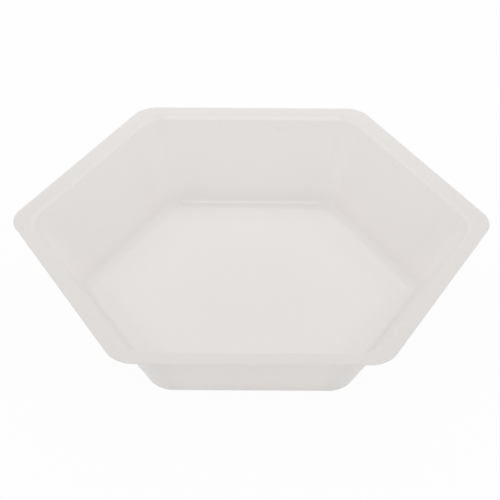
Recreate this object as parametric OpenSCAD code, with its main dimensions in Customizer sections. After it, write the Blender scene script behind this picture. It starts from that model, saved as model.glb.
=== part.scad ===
// Hexagonal weighing boat, formed in one piece from a thin sheet of white polystyrene.
// A level flange runs round the rim, a narrow sloping shoulder leads it into six leaning
// walls, and a fillet leads them into a flat floor. Millimetres, +Z up. The origin is the centre of the
// underside of the floor, on which the boat stands, and two corners point along X.

/* [Overall] */
// Width of the rim across two opposite sides
rim_width = 101; // [90:0.5:130]
// Height of the top of the rim above the surface that the boat stands on
height = 22.4; // [14:0.2:30]
// Thickness of the formed sheet
sheet = 0.35; // [0.2:0.05:0.6]

/* [Rim] */
// Level width of the flange, from its trimmed edge to its inner crease
flange_flat = 3.1; // [1:0.1:6]
// Width of the flat face of the sloping shoulder between the flange and the wall
shoulder_width = 1.15; // [0.4:0.05:3]
// Slope of the shoulder, in degrees from level
shoulder_slope = 45; // [30:1:50]
// Radius of the creases above and below the shoulder, on the under face
crease_r = 0.15; // [0.1:0.05:1]
// Radius of the trimmed corners of the flange, seen from above
trim_corner_r = 6.4; // [3:0.2:12]

/* [Walls and floor] */
// Lean of the walls away from upright, in degrees
draft = 25.9; // [10:0.1:35]
// Radius of the upright corners where the walls leave the shoulder, seen from above
wall_corner_r = 7; // [2:0.2:10]
// Radius of the corners of the flat of the floor, seen from above
floor_corner_r = 3.4; // [1:0.2:10]
// Radius of the fillet between the walls and the floor, on the upper face
floor_fillet_r = 3; // [1:0.2:6]

/* [Smoothness] */
// Facets along each rounded corner
corner_steps = 12; // [4:1:16]
// Facets across each crease of the rim
crease_steps = 4; // [2:1:8]
// Facets across the fillet of the floor
fillet_steps = 8; // [3:1:12]

/* [Hidden] */
SIDES = 6;

// The section turns through this angle at the rim, and back again at the floor
turn = 90 - draft;

// The creases have the sheet's thickness more radius on the upper face
bend_r = crease_r + sheet;

// How far the upper face has come in and down at a tilt, on either crease
function crease_in(tilt) = flange_flat + bend_r * sin(tilt);
function crease_drop(tilt) = bend_r * (1 - cos(tilt));

// The shoulder adds its own width between the two creases
shoulder_in = shoulder_width * cos(shoulder_slope);
shoulder_drop = shoulder_width * sin(shoulder_slope);

// The top of the straight wall, inwards from the trimmed edge and up from the ground
wall_top_in = crease_in(turn) + shoulder_in;
wall_top_z = height - crease_drop(turn) - shoulder_drop;

// The top of the fillet, where the straight wall meets it
fillet_top_z = sheet + floor_fillet_r * (1 - cos(turn));
fillet_top_in = wall_top_in + (wall_top_z - fillet_top_z) * tan(draft);

// The edge of the flat of the floor
floor_edge_in = fillet_top_in + floor_fillet_r * sin(turn);

// A station is one point of the upper face's section:
// [distance in from the trimmed edge, height, tilt of the face, corner radius].
// Creases and fillet turn about upright axes at the corners, so their radii there are concentric.
function upper_crease_station(tilt) = [
  crease_in(tilt),
  height - crease_drop(tilt),
  tilt,
  wall_corner_r + wall_top_in - crease_in(tilt)
];

function lower_crease_station(tilt) = [
  crease_in(tilt) + shoulder_in,
  height - crease_drop(tilt) - shoulder_drop,
  tilt,
  wall_corner_r + crease_in(turn) - crease_in(tilt)
];

function fillet_station(tilt) = [
  floor_edge_in - floor_fillet_r * sin(tilt),
  sheet + floor_fillet_r * (1 - cos(tilt)),
  tilt,
  floor_corner_r + floor_fillet_r * sin(tilt)
];

// The section of the upper face, from the edge of the floor out to the trimmed edge
section = [
  for (i = [0 : fillet_steps]) fillet_station(turn * i / fillet_steps),
  for (i = [0 : crease_steps])
    lower_crease_station(turn + (shoulder_slope - turn) * i / crease_steps),
  for (i = [0 : crease_steps]) upper_crease_station(shoulder_slope * (1 - i / crease_steps)),
  [0, height, 0, trim_corner_r]
];

// The same station on the under face, one sheet thickness away along the face's normal
function under_station(s) = [
  s[0] - sheet * sin(s[2]),
  s[1] - sheet * cos(s[2]),
  s[2],
  s[3] + sheet * sin(s[2])
];

// A ring is the boat's outline at one station, a hexagon with rounded corners
function ring(station) =
  let (
    corner_r = station[3],
    reach = (rim_width / 2 - station[0] - corner_r) / cos(180 / SIDES)
  )
  [
    for (corner = [0 : SIDES - 1], step = [0 : corner_steps])
      let (
        aim = corner * 360 / SIDES,
        at = aim + (step / corner_steps - 1 / 2) * 360 / SIDES
      )
      [reach * cos(aim) + corner_r * cos(at), reach * sin(aim) + corner_r * sin(at), station[1]]
  ];

// A closed solid through rings of equally many points, flat across the first and the last
module loft(rings) {
  count = len(rings[0]);
  last = len(rings) - 1;
  bands = [
    for (level = [0 : last - 1], i = [0 : count - 1])
      let (next = (i + 1) % count)
      [
        level * count + i,
        level * count + next,
        (level + 1) * count + next,
        (level + 1) * count + i
      ]
  ];
  first_cap = [for (i = [0 : count - 1]) count - 1 - i];
  last_cap = [for (i = [0 : count - 1]) last * count + i];
  points = [for (outline = rings) each outline];
  polyhedron(points, concat([first_cap], bands, [last_cap]));
}

// The sheet follows the upper face from the floor out to the trimmed edge, and the
// under face back again
module boat() {
  upper = [for (s = section) ring(s)];
  under = [for (i = [len(section) - 1 : -1 : 0]) ring(under_station(section[i]))];
  color("#e6e2df") loft(concat(upper, under));
}

boat();
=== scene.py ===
# %% [markdown]
# # A hexagonal weighing boat
#
# The real thing is a disposable tray for weighing powders. A thin sheet of white polystyrene is
# warmed, drawn over a mould and trimmed to a hexagon, so it is one piece: a level flange, a sloping
# shoulder, six leaning walls, a fillet and a flat floor. The model gives it one thickness
# everywhere, though a drawn sheet is usually thinner in its corners.
#
# The solid model gives the size and the place. This lesson makes the sheet again with a mesh fine
# enough to shade smoothly, gives it the satin, slightly milky surface of formed polystyrene, and
# sets it in a plain studio.

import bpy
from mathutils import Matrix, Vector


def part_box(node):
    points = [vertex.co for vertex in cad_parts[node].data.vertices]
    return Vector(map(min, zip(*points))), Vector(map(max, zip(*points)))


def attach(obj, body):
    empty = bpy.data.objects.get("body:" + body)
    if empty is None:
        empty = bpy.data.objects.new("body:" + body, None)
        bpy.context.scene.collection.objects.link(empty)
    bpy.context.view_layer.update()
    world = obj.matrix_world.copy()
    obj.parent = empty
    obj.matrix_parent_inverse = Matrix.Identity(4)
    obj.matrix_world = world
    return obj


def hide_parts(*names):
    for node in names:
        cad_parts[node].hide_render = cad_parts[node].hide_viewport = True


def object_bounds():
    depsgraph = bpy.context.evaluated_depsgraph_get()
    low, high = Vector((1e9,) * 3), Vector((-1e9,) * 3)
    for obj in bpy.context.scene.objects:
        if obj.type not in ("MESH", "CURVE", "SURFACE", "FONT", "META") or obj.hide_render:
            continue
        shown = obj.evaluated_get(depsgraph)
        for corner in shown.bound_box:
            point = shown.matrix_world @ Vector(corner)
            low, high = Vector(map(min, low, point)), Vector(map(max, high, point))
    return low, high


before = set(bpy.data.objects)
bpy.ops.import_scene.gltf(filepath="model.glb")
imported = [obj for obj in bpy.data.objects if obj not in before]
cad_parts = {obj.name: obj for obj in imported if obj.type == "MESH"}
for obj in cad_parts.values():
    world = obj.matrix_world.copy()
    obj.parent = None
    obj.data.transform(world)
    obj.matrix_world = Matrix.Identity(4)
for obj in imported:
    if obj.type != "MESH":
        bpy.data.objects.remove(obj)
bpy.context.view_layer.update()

# %% The tools of the lesson
import math

import bmesh
import bpy
from mathutils import Matrix, Vector, noise

scene = bpy.context.scene
scene.view_settings.view_transform = "Standard"

# %% [markdown]
# ## The sizes
#
# Blender works in metres, so every size in millimetres is multiplied by one named value. The
# outside width and the height are read from the frame. The rest are the sheet's own: how wide the
# flange and its shoulder are, how tightly the sheet creases, and how far the walls lean from
# upright so that the formed boat lifts off its mould.

# %% Sizes of the formed sheet
MM = 0.001
SIDES = 6
CORNER_TURN = 2 * math.pi / SIDES

half_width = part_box("boat")[1].y
rim_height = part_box("boat")[1].z

SHEET = 0.35 * MM
FLANGE_FLAT = 3.1 * MM
SHOULDER_WIDTH = 1.15 * MM
SHOULDER_SLOPE = math.radians(45)
CREASE_RADIUS = 0.5 * MM
FILLET_RADIUS = 3.0 * MM
DRAFT = math.radians(25.9)

TRIM_CORNER = 6.4 * MM
SHOULDER_CORNER = 7.9 * MM
WALL_CORNER = 7.0 * MM
FLOOR_CORNER = 5.3 * MM


def cut_for(radius, turn):
    """How far each end of an arc lies from the sharp fold that it rounds."""
    return radius * math.tan(turn / 2)


section_turn = math.pi / 2 - DRAFT
upper_cut = cut_for(CREASE_RADIUS, SHOULDER_SLOPE)
lower_cut = cut_for(CREASE_RADIUS, section_turn - SHOULDER_SLOPE)
fillet_cut = cut_for(FILLET_RADIUS, section_turn)

slope_length = upper_cut + SHOULDER_WIDTH + lower_cut
shoulder_inset = FLANGE_FLAT + upper_cut
wall_inset = shoulder_inset + slope_length * math.cos(SHOULDER_SLOPE)
wall_height = rim_height - slope_length * math.sin(SHOULDER_SLOPE)
floor_inset = wall_inset + (wall_height - SHEET) * math.tan(DRAFT)

print(f"rim {2 * half_width / MM:.1f} mm across, {rim_height / MM:.1f} mm high")
print(f"floor {2 * (half_width - floor_inset - fillet_cut) / MM:.1f} mm across its flat")

# %% [markdown]
# ## The outlines
#
# Seen from above, every level of the boat is a hexagon with rounded corners. A circle of only six
# points is a hexagon, and a bevel of its points rounds them. Four of these outlines are enough for
# the whole boat: the trimmed edge, and the three lines where the flange, the shoulder, the walls
# and the floor would meet if the sheet were folded sharply. The corners are rounder at the top of
# the walls than at the trimmed edge. The straight stretches are then cut finely, so that the thin
# walls can be given a faint waviness later.

# %% One outline
CORNER_SEGMENTS = 16
STRAIGHT_CUTS = 23


def outline(sheet, inset, height, corner_radius):
    """Draws a level hexagon with rounded corners as a loop of edges, and returns its edges."""
    before = set(sheet.edges)
    hexagon = bmesh.ops.create_circle(
        sheet, segments=SIDES, radius=(half_width - inset) / math.cos(CORNER_TURN / 2)
    )
    # the circle's first point lies on Y, and a corner of the boat points along X
    bmesh.ops.rotate(sheet, verts=hexagon["verts"], matrix=Matrix.Rotation(math.pi / 2, 3, "Z"))
    bmesh.ops.translate(sheet, verts=hexagon["verts"], vec=(0, 0, height))
    bmesh.ops.bevel(
        sheet,
        geom=hexagon["verts"],
        affect="VERTICES",
        offset=corner_radius * math.tan(CORNER_TURN / 2),
        segments=CORNER_SEGMENTS,
        profile=0.5,
        material=-1,
    )
    drawn = [e for e in sheet.edges if e not in before]
    longest = max(e.calc_length() for e in drawn)
    straights = [e for e in drawn if e.calc_length() > longest / 2]
    bmesh.ops.subdivide_edges(sheet, edges=straights, cuts=STRAIGHT_CUTS)
    return [e for e in sheet.edges if e not in before]


sheet = bmesh.new()
trim_loop = outline(sheet, 0, rim_height, TRIM_CORNER)
shoulder_loop = outline(sheet, shoulder_inset, rim_height, SHOULDER_CORNER)
wall_loop = outline(sheet, wall_inset, wall_height, WALL_CORNER)
floor_loop = outline(sheet, floor_inset, SHEET, FLOOR_CORNER)
loops = (trim_loop, shoulder_loop, wall_loop, floor_loop)
print("points in each outline:", [len(loop) for loop in loops])

# %% [markdown]
# ## The sharp tray, then its bends
#
# Bridging the four outlines and filling the last gives a tray with sharp folds. The real sheet
# can't fold sharply, so the three level lines are bevelled. A bevel of an edge between two faces
# that turn by an angle leaves an arc whose ends lie radius times the tangent of half that angle
# from the edge, which is how the radii became bevel widths above.

# %% Bridge the outlines and round the bends
CREASE_SEGMENTS = 4
FILLET_SEGMENTS = 12
# how far from a level a point may lie and still belong to it
LEVEL_SLACK = SHEET / 10

bmesh.ops.bridge_loops(sheet, edges=trim_loop + shoulder_loop)
bmesh.ops.bridge_loops(sheet, edges=shoulder_loop + wall_loop)
bmesh.ops.bridge_loops(sheet, edges=wall_loop + floor_loop)
bmesh.ops.contextual_create(sheet, geom=floor_loop)


def round_loop(sheet, height, turn, width, segments):
    """Bevels the level line of folded edges that runs round the tray at this height."""
    loop = [
        e
        for e in sheet.edges
        if len(e.link_faces) == 2
        and e.calc_face_angle() > turn / 2
        and all(abs(v.co.z - height) < LEVEL_SLACK for v in e.verts)
    ]
    bmesh.ops.bevel(
        sheet,
        geom=loop,
        affect="EDGES",
        offset=width,
        segments=segments,
        profile=0.5,
        material=-1,
    )
    return len(loop)


lower_turn = section_turn - SHOULDER_SLOPE
print("upper crease", round_loop(sheet, rim_height, SHOULDER_SLOPE, upper_cut, CREASE_SEGMENTS))
print("lower crease", round_loop(sheet, wall_height, lower_turn, lower_cut, CREASE_SEGMENTS))
print("fillet edges", round_loop(sheet, SHEET, section_turn, fillet_cut, FILLET_SEGMENTS))

# %% [markdown]
# ## Rows for the walls and the floor
#
# The bevels left one tall face for each stretch of wall, and one face for the whole floor. Level
# cuts with a plane give the walls their rows. The floor is truly flat, so one inset ring is enough
# to hold its edge where it meets the fillet, and the rest stays a single face.

# %% Cut the rows
WALL_ROWS = 14
FLOOR_RING = 1.5 * MM

wall_low = SHEET + FILLET_RADIUS * (1 - math.cos(section_turn))
wall_high = wall_height - lower_cut * math.sin(section_turn)
for row in range(1, WALL_ROWS):
    level = wall_low + (wall_high - wall_low) * row / WALL_ROWS
    bmesh.ops.bisect_plane(
        sheet,
        geom=list(sheet.verts) + list(sheet.edges) + list(sheet.faces),
        plane_co=(0, 0, level),
        plane_no=(0, 0, 1),
    )

floor_face = max(sheet.faces, key=lambda f: f.calc_area())
bmesh.ops.inset_region(sheet, faces=[floor_face], thickness=FLOOR_RING, use_even_offset=True)
print("floor left inside the ring:", f"{floor_face.calc_area() / MM**2:.0f} mm2")

# %% [markdown]
# ## The waviness of thin walls
#
# A wall this thin may spring a little as it leaves the mould, so no stretch of it is left truly
# flat. Each point moves along the wall's normal by a slow noise of a few hundredths of a
# millimetre, which is a guess. The move fades out towards the rim and the floor, which stay true.

# %% Let the walls wave
WAVE_LENGTH = 22 * MM
WAVE_HEIGHT = 0.05 * MM

bmesh.ops.recalc_face_normals(sheet, faces=sheet.faces)
if floor_face.normal.z < 0:
    bmesh.ops.reverse_faces(sheet, faces=sheet.faces)
sheet.normal_update()

moves = {}
for v in sheet.verts:
    part_way = (v.co.z - wall_low) / (wall_high - wall_low)
    if 0 < part_way < 1:
        hold = math.sin(math.pi * part_way)
        moves[v] = v.normal * (noise.noise(v.co / WAVE_LENGTH) * WAVE_HEIGHT * hold)
for v, move in moves.items():
    v.co += move
largest = max(move.length for move in moves.values())
print("waving points", len(moves), "largest move", f"{largest / MM:.3f} mm")

# %% [markdown]
# ## The finished sheet
#
# The surface so far is the upper face. A Solidify modifier gives the sheet its thickness below it,
# measured across the sheet so that the leaning walls are as thick as the floor. A Bevel modifier
# then eases the two edges that the trimming knife leaves, and only those, because no other edge is
# sharp. Faces are shaded smoothly, and Weighted Normal lets the large flat faces decide the normals
# where they meet a bend, so that flats look flat and folds look round.

# %% Make the piece
TRIM_EASE = 0.07 * MM
TRIM_SEGMENTS = 2
# an edge that turns by more than this is sharp, as only the two edges of the trimmed rim do
SHARP_FROM = math.radians(60)

mesh = bpy.data.meshes.new("boat_sheet")
sheet.to_mesh(mesh)
sheet.free()
mesh.shade_smooth()
boat = bpy.data.objects.new("boat_sheet", mesh)
scene.collection.objects.link(boat)

thickness = boat.modifiers.new("sheet_thickness", "SOLIDIFY")
thickness.thickness = SHEET
thickness.offset = -1
thickness.use_even_offset = True

knife_edge = boat.modifiers.new("knife_edge", "BEVEL")
knife_edge.width = TRIM_EASE
knife_edge.segments = TRIM_SEGMENTS
knife_edge.limit_method = "ANGLE"
knife_edge.angle_limit = SHARP_FROM

flat_normals = boat.modifiers.new("flat_normals", "WEIGHTED_NORMAL")
flat_normals.keep_sharp = True

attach(boat, "root")
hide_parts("boat")
low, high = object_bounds()
print("boat sheet", [f"{(h - l) / MM:.2f} mm" for l, h in zip(low, high)])

# %% [markdown]
# ## One way to add a node
#
# Every material here is a small graph. One function adds a node, sets its inputs and its
# properties, and links it. Three short ones on top of it work out a sum, mix two values and fade
# from one number to another. Colours are written as the familiar sRGB hex values, and one function
# turns them into the linear numbers that Blender works with.

# %% Colour and node helpers
def linear(hex_colour):
    """Turns an sRGB hex colour into linear red, green, blue and an alpha of one."""
    channels = [int(hex_colour[i : i + 2], 16) / 255 for i in (1, 3, 5)]
    return [c / 12.92 if c <= 0.04045 else ((c + 0.055) / 1.055) ** 2.4 for c in channels] + [1.0]


def add(tree, kind, inputs=None, **settings):
    """Adds a node. An input may be a value, or another node's output to link from."""
    made = tree.nodes.new(kind)
    for name, value in settings.items():
        setattr(made, name, value)
    for name, value in (inputs or {}).items():
        if isinstance(value, bpy.types.NodeSocket):
            tree.links.new(value, made.inputs[name])
        else:
            made.inputs[name].default_value = value
    return made


def calc(tree, operation, *numbers):
    """Does a sum with one to three numbers, each a value or another node's output."""
    return add(tree, "ShaderNodeMath", dict(enumerate(numbers)), operation=operation).outputs[0]


def blend(tree, kind, factor, first, second):
    """Mixes two numbers or colours. A factor of zero gives the first, and one the second."""
    inputs = {"Factor": factor, "A": first, "B": second}
    mixer = add(tree, "ShaderNodeMix", inputs, data_type=kind)
    return next(socket for socket in mixer.outputs if socket.enabled)


def fade(tree, value, start, end, at_start, at_end):
    """Goes smoothly from one number to another while the value goes from start to end."""
    return add(
        tree,
        "ShaderNodeMapRange",
        {
            "Value": value,
            "From Min": start,
            "From Max": end,
            "To Min": at_start,
            "To Max": at_end,
        },
        interpolation_type="SMOOTHSTEP",
    ).outputs[0]


def new_material(name):
    """Starts an empty material and returns it with its node tree."""
    made = bpy.data.materials.new(name)
    made.use_nodes = True
    made.node_tree.nodes.clear()
    return made, made.node_tree


print("a mid grey of #808080 reflects", round(linear("#808080")[0], 3), "of the light")

# %% [markdown]
# ## Formed white polystyrene
#
# High impact polystyrene sheet is white from its filler, slightly warm, and satin: smoother than
# paper, duller than a moulded cup. Three things break the plain white.
#
# The first is a very fine grain, which the warm sheet takes from the mould, over a slower peel. The
# second is a faint, soft speck here and there, perhaps from reground trimmings. The third is
# painted light and shade, which stand in for the little light that the thin sheet lets through.
#
# The grain is a noise that mixes two near whites and also drives a bump. Both colours are written
# as the sheet would look in plain white light, so the lamps never have to correct them.

# %% Colours of the sheet
SHEET_LOW = "#f1eeeb"
SHEET_HIGH = "#faf6f4"
SPECK = "#cfc9c4"

# a grain of a few hundredths of a millimetre is too fine to show, so it is drawn coarser
GRAIN = 0.45 * MM
GRAIN_DETAIL = 2.0
GRAIN_FINENESS = 0.6

polystyrene, tree = new_material("formed_white_polystyrene")
place = add(tree, "ShaderNodeTexCoord").outputs["Object"]
grain = add(
    tree,
    "ShaderNodeTexNoise",
    {
        "Vector": place,
        "Scale": 1 / GRAIN,
        "Detail": GRAIN_DETAIL,
        "Roughness": GRAIN_FINENESS,
    },
).outputs["Fac"]
grained = blend(tree, "RGBA", grain, linear(SHEET_LOW), linear(SHEET_HIGH))
print("grain", GRAIN / MM, "mm wide between", SHEET_LOW, "and", SHEET_HIGH)

# %% Specks
SPECK_SPACING = 15 * MM
SPECK_RADIUS = 1.2 * MM
# how much of the speck's own colour shows in its middle
SPECK_DEPTH = 0.1
# slides the cells so that the specks fall on the walls and the floor, and none on the rim
SPECK_SHIFT = Vector((42, 52, 26)) * MM

cells = add(tree, "ShaderNodeMapping", {"Vector": place, "Location": SPECK_SHIFT}).outputs[0]
nearest = add(tree, "ShaderNodeTexVoronoi", {"Vector": cells, "Scale": 1 / SPECK_SPACING})
speck = fade(tree, nearest.outputs["Distance"], 0, SPECK_RADIUS / SPECK_SPACING, SPECK_DEPTH, 0)
speckled = blend(tree, "RGBA", speck, grained, linear(SPECK))
print("one speck to each", SPECK_SPACING / MM, "mm cube that the sheet passes through")

# %% [markdown]
# ## Painted light through the sheet
#
# A thin white sheet passes some of its light on, and this material is opaque. A table of shares by
# height makes up for that with light and shade painted into the colour. The sheet is painted paler
# where the floor lies on the white bench, with a painted shade just above it and a little more
# at the rim. The corners are painted paler on the inside and darker on the outside, as they would
# be if the sheet were thinnest there.
#
# The shares are matched to the look of the object. They aren't worked out from how plastic passes
# light, and other light would need other shares. A scattering shader is the physical way. It keeps
# the grain and takes about half as long again to render, but it doesn't set these few small steps
# one by one. A colour ramp holds the table, with a column in each of its red, green, blue and alpha
# channels.

# %% The share of light by height
# millimetres above the bench, and how much of its colour the sheet shows there as painted light
# and shade: inside the boat along a wall and in a corner, then outside it along a wall and on a
# corner
LIGHT_BY_HEIGHT = [
    (0.36, 1.02, 1.02, 1.0, 1.0),
    (0.55, 0.968, 0.968, 1.01, 0.98),
    (0.9, 0.95, 0.955, 1.01, 0.965),
    (2.2, 0.955, 0.975, 0.99, 0.935),
    (6.0, 0.99, 1.01, 0.992, 0.935),
    (15.0, 0.98, 1.005, 0.98, 0.925),
    (22.1, 0.968, 0.972, 0.965, 0.94),
    (22.35, 0.94, 0.94, 0.94, 0.94),
]

at = add(tree, "ShaderNodeSeparateXYZ", {"Vector": place}).outputs
up_the_side = calc(tree, "DIVIDE", at["Z"], rim_height)
table = add(tree, "ShaderNodeValToRGB", {"Fac": up_the_side})
stops = table.color_ramp.elements
while len(stops) < len(LIGHT_BY_HEIGHT):
    stops.new(1.0)
for stop, (mm, *row) in zip(stops, LIGHT_BY_HEIGHT):
    stop.position = mm * MM / rim_height
    stop.color = row
shares = add(tree, "ShaderNodeSeparateColor", {0: table.outputs["Color"]}).outputs
print("the sheet keeps at least", min(min(row[1:]) for row in LIGHT_BY_HEIGHT), "of its colour")

# %% Where the corners are
# the angle round the boat from the nearest corner, at which a wall counts as flat again
CORNER_REACH = math.radians(11)

turn = calc(tree, "ARCTAN2", at["Y"], at["X"])
from_corner = calc(tree, "PINGPONG", turn, CORNER_TURN / 2)
# how much of the painted light and shade of a corner a point takes
cornered = fade(tree, from_corner, 0, CORNER_REACH, 1, 0)

# the inside of every leaning wall faces up, and its outside faces down
normal = add(tree, "ShaderNodeNewGeometry").outputs["Normal"]
facing = add(tree, "ShaderNodeSeparateXYZ", {"Vector": normal}).outputs
is_inside = calc(tree, "GREATER_THAN", facing["Z"], 0.0)
print("a corner fades out in", round(math.degrees(CORNER_REACH)), "degrees to each side")

# %% [markdown]
# ## The floor and the foot of the walls
#
# Three smaller changes of painted light and shade are matched in the same way. The floor is
# painted a shade paler towards its edge than in its middle, the feet of the side walls are
# painted less dark than the foot of the far wall, and on the front half the edge of the floor
# takes a little painted shade. Light that travels sideways inside the sheet and the boat's own
# shadow are likely reasons, but neither was tested. The last change has no partner on the back
# half, and stays on the sheet from whichever side it is seen.

# %% The floor and the foot of the walls
# the share that the middle of the floor keeps under its painted shade, and how far out the loss
# begins to fade and is gone
FLOOR_MIDDLE = 0.974
FLOOR_FROM = 8 * MM
FLOOR_TO = 28 * MM
# the painted light that the foot of a wall gains if it faces along X, and the heights over which
# the gain fades
SIDE_LIFT = 0.022
FOOT_FROM = 2.5 * MM
FOOT_TO = 8 * MM
# the painted shade that the edge of the floor takes on the front half, and how far out it begins
# and is full
FRONT_LOSS = 0.02
FRONT_FROM = 28 * MM
FRONT_TO = 34 * MM
# how far to each side of the middle the front half passes into the back half
FRONT_BLEND = 3 * MM

# how far out a point lies, measured square to the nearest wall
from_middle = calc(tree, "SUBTRACT", CORNER_TURN / 2, from_corner)
reach = add(tree, "ShaderNodeVectorMath", {0: place}, operation="LENGTH").outputs["Value"]
outward = calc(tree, "MULTIPLY", reach, calc(tree, "COSINE", from_middle))

# painted light and shade for the foot of the walls and for the floor
at_the_foot = fade(tree, at["Z"], FOOT_FROM, FOOT_TO, 1, 0)
in_front = fade(tree, at["Y"], -FRONT_BLEND, FRONT_BLEND, 1, 0)
edge_loss = fade(tree, outward, FRONT_FROM, FRONT_TO, 0, -FRONT_LOSS)
side_gain = calc(tree, "MULTIPLY", calc(tree, "ABSOLUTE", facing["X"]), SIDE_LIFT)
foot_gain = calc(tree, "MULTIPLY_ADD", edge_loss, in_front, side_gain)
foot_change = calc(tree, "MULTIPLY_ADD", foot_gain, at_the_foot, 1.0)
floor_change = fade(tree, outward, FLOOR_FROM, FLOOR_TO, FLOOR_MIDDLE, 1)
change = calc(tree, "MULTIPLY", foot_change, floor_change)
print("the middle of the floor keeps", FLOOR_MIDDLE, "of the share at its edge")

# %% The colour with its painted light and shade
inside_share = blend(tree, "FLOAT", cornered, shares["Red"], shares["Green"])
changed_share = calc(tree, "MULTIPLY", inside_share, change)
outside_share = blend(tree, "FLOAT", cornered, shares["Blue"], table.outputs["Alpha"])
share = blend(tree, "FLOAT", is_inside, outside_share, changed_share)
# the grain and the specks, with the painted light and shade laid over them
grain_specks_and_painted_light = add(
    tree, "ShaderNodeVectorMath", {0: speckled, "Scale": share}, operation="SCALE"
).outputs[0]
print("the colour now has", len(tree.nodes), "nodes behind it")

# %% Grain and peel as bumps, and the shader
PEEL = 3.2 * MM
PEEL_DETAIL = 1.0
GRAIN_HEIGHT = 0.015 * MM
PEEL_HEIGHT = 0.02 * MM
# solid polystyrene bends light by 1.59, and a satin sheet lies between a gloss and a matt one
POLYSTYRENE_IOR = 1.59
SATIN_ROUGHNESS = 0.32

peel = add(
    tree, "ShaderNodeTexNoise", {"Vector": place, "Scale": 1 / PEEL, "Detail": PEEL_DETAIL}
)
peel_bump = add(
    tree,
    "ShaderNodeBump",
    {"Height": peel.outputs["Fac"], "Strength": 1.0, "Distance": PEEL_HEIGHT},
)
grain_bump = add(
    tree,
    "ShaderNodeBump",
    {
        "Height": grain,
        "Strength": 1.0,
        "Distance": GRAIN_HEIGHT,
        "Normal": peel_bump.outputs["Normal"],
    },
)
plastic = add(
    tree,
    "ShaderNodeBsdfPrincipled",
    {
        "Base Color": grain_specks_and_painted_light,
        "Roughness": SATIN_ROUGHNESS,
        "IOR": POLYSTYRENE_IOR,
        "Normal": grain_bump.outputs["Normal"],
    },
)
add(tree, "ShaderNodeOutputMaterial", {"Surface": plastic.outputs["BSDF"]})
mesh.materials.append(polystyrene)
print(polystyrene.name, "has", len(tree.nodes), "nodes")

# %% [markdown]
# ## The bench
#
# The boat stands on a wide white bench. To the lamps it is ordinary white paper, which lights the
# outside of the walls from below and takes the boat's shadow. To the camera, and in anything
# glossy or clear, most of it is a plain white emission, so that it reads as a white background
# with a soft trace of the shadow left.

# %% The bench
BENCH_PAPER = "#f7f7f7"
WHITE = "#ffffff"
BENCH_REACH = 2.0
BENCH_GAP = 0.02 * MM
SHADOW_SHARE = 0.05


def looked_at(tree, mirror_share=1.0):
    """One for camera rays, mirror_share for rays from a mirror or a clear piece, otherwise zero."""
    ray = add(tree, "ShaderNodeLightPath").outputs
    mirrored = calc(tree, "MAXIMUM", ray["Is Glossy Ray"], ray["Is Transmission Ray"])
    mirrored_share = calc(tree, "MULTIPLY", mirrored, mirror_share)
    return calc(tree, "MAXIMUM", ray["Is Camera Ray"], mirrored_share)


paper, paper_tree = new_material("white_bench_paper")
matt = add(paper_tree, "ShaderNodeBsdfDiffuse", {"Color": linear(BENCH_PAPER)}).outputs[0]
glow = add(paper_tree, "ShaderNodeEmission", {"Color": linear(WHITE), "Strength": 1.0}).outputs[0]
white_share = calc(paper_tree, "MULTIPLY", looked_at(paper_tree), 1 - SHADOW_SHARE)
both = add(paper_tree, "ShaderNodeMixShader", {0: white_share, 1: matt, 2: glow}).outputs[0]
add(paper_tree, "ShaderNodeOutputMaterial", {"Surface": both})

ground = bmesh.new()
bmesh.ops.create_grid(ground, x_segments=1, y_segments=1, size=BENCH_REACH)
bmesh.ops.translate(ground, verts=ground.verts, vec=(0, 0, -BENCH_GAP))
bench_mesh = bpy.data.meshes.new("white_bench")
ground.to_mesh(bench_mesh)
ground.free()
bench_mesh.materials.append(paper)
bench = bpy.data.objects.new("white_bench", bench_mesh)
scene.collection.objects.link(bench)
print("bench", 2 * BENCH_REACH, "m wide")

# %% [markdown]
# ## The room
#
# The world is a white room. Much of the light comes evenly from it, which keeps every shadow soft,
# and its two side walls glow more, at thirty degrees up, as if large shades stood there. The camera
# sees the room at full white.
#
# Satin plastic also mirrors the room a little. A white backdrop ends somewhere, and the ceiling
# above it is taken to be dimmer. So reflections see full white only up to about forty degrees, and
# the room's own light above. Seen from the camera, that takes one to three levels of 255 from the
# floor and the rim, and about one from the inside of the walls.

# %% The room
ROOM_LIGHT = 0.57
SIDE_GLOW = 0.62
SIDE_UP = math.radians(30)
SIDE_NARROWNESS = 8
CEILING_FROM = math.radians(34)
CEILING_TO = math.radians(46)

world = bpy.data.worlds.new("white_room")
scene.world = world
world.use_nodes = True
room_tree = world.node_tree
room_tree.nodes.clear()
direction = add(room_tree, "ShaderNodeTexCoord").outputs["Generated"]
way = add(room_tree, "ShaderNodeSeparateXYZ", {0: direction}).outputs

# how squarely a direction meets the middle of a side wall, raised to a power to narrow the glow
level_part = calc(room_tree, "MULTIPLY", calc(room_tree, "ABSOLUTE", way["X"]), math.cos(SIDE_UP))
squarely = calc(room_tree, "MULTIPLY_ADD", way["Z"], math.sin(SIDE_UP), level_part)
side_glow = calc(room_tree, "POWER", calc(room_tree, "MAXIMUM", squarely, 0.0), SIDE_NARROWNESS)
lit = calc(room_tree, "MULTIPLY_ADD", side_glow, SIDE_GLOW, ROOM_LIGHT)
below_ceiling = add(
    room_tree,
    "ShaderNodeMapRange",
    {
        "Value": way["Z"],
        "From Min": math.sin(CEILING_FROM),
        "From Max": math.sin(CEILING_TO),
        "To Min": 1.0,
        "To Max": 0.0,
    },
).outputs[0]
strength = blend(room_tree, "FLOAT", looked_at(room_tree, below_ceiling), lit, 1.0)
walls = add(room_tree, "ShaderNodeBackground", {"Color": linear(WHITE), "Strength": strength})
add(room_tree, "ShaderNodeOutputWorld", {"Surface": walls.outputs[0]})
print("the room gives", ROOM_LIGHT, "and its sides", ROOM_LIGHT + SIDE_GLOW, "of a full white")

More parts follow.
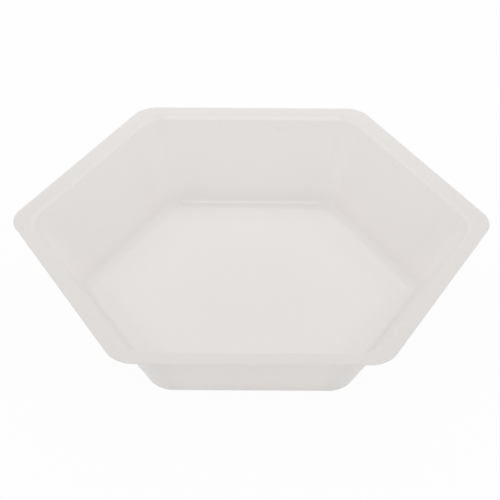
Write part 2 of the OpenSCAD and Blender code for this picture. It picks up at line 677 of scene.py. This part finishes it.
# %% [markdown]
# ## The lamps
#
# Three small softboxes do the rest. A shallow tray shows its shape by small steps of brightness, so
# each box has a task of its own beside its part of the general light. The low front box reaches the
# outside of the near wall. The small key in front and above is mirrored in the fillet at the foot
# of the far wall and in the far shoulder, and without it the pale line in the fillet is gone. Both
# stand far off, so that they light the near and the far side nearly alike.
#
# The last box hangs close above the far side, so that the boat is a little brighter at the back
# than at the front. Its mirror image would add about six levels of 255 to the near rim, so it is
# left out of reflections.

# %% Lamps
def softbox(name, azimuth, elevation, distance, size, power, mirrored=True):
    """A square area lamp that looks at the boat. Azimuth 0 is the camera's side, 90 is +X."""
    data = bpy.data.lights.new(name, "AREA")
    data.shape = "SQUARE"
    data.size = size
    data.energy = power
    lamp = bpy.data.objects.new(name, data)
    a, e = math.radians(azimuth), math.radians(elevation)
    back = Vector((math.sin(a) * math.cos(e), -math.cos(a) * math.cos(e), math.sin(e)))
    lamp.location = back * distance
    lamp.rotation_euler = back.to_track_quat("Z", "Y").to_euler()
    lamp.visible_camera = False
    lamp.visible_glossy = mirrored
    scene.collection.objects.link(lamp)
    print(f"{name}: {power} W, {distance} m away, {elevation} degrees up")
    return lamp


softbox("front_fill", azimuth=0, elevation=10, distance=2.5, size=0.83, power=2.8)
softbox("fillet_key", azimuth=0, elevation=51, distance=2.5, size=0.2, power=5.3)
softbox(
    "far_side_lamp", azimuth=180, elevation=60, distance=0.2, size=0.12, power=0.048, mirrored=False
)

# %% [markdown]
# ## The camera
#
# A long lens a third of a metre away, looking down at the tray from a little under forty degrees.
# Its aim is a point just behind the centre, so that the whole tray sits in a square frame. It is
# turned by half a degree about its own axis, as a camera held by hand may be.

# %% Camera
# a trace to the left of straight in front
CAMERA_AZIMUTH = math.radians(-0.3)
CAMERA_ELEVATION = math.radians(38.1)
CAMERA_DISTANCE = 346 * MM
CAMERA_ROLL = math.radians(0.54)
CAMERA_LENS = 99.45
NEAREST_SEEN = 10 * MM
AIM = Vector((-0.28, 6.4, 8.35)) * MM

camera_data = bpy.data.cameras.new("camera")
camera_data.lens = CAMERA_LENS
camera_data.clip_start = NEAREST_SEEN
camera = bpy.data.objects.new("camera", camera_data)
level_back = Vector((math.sin(CAMERA_AZIMUTH), -math.cos(CAMERA_AZIMUTH), 0))
back = level_back * math.cos(CAMERA_ELEVATION) + Vector((0, 0, math.sin(CAMERA_ELEVATION)))
camera.location = AIM + back * CAMERA_DISTANCE
camera.rotation_euler = (
    Matrix.Rotation(CAMERA_ROLL, 3, back) @ back.to_track_quat("Z", "Y").to_matrix()
).to_euler()
scene.collection.objects.link(camera)
scene.camera = camera
print("camera at", [f"{c / MM:.0f} mm" for c in camera.location])
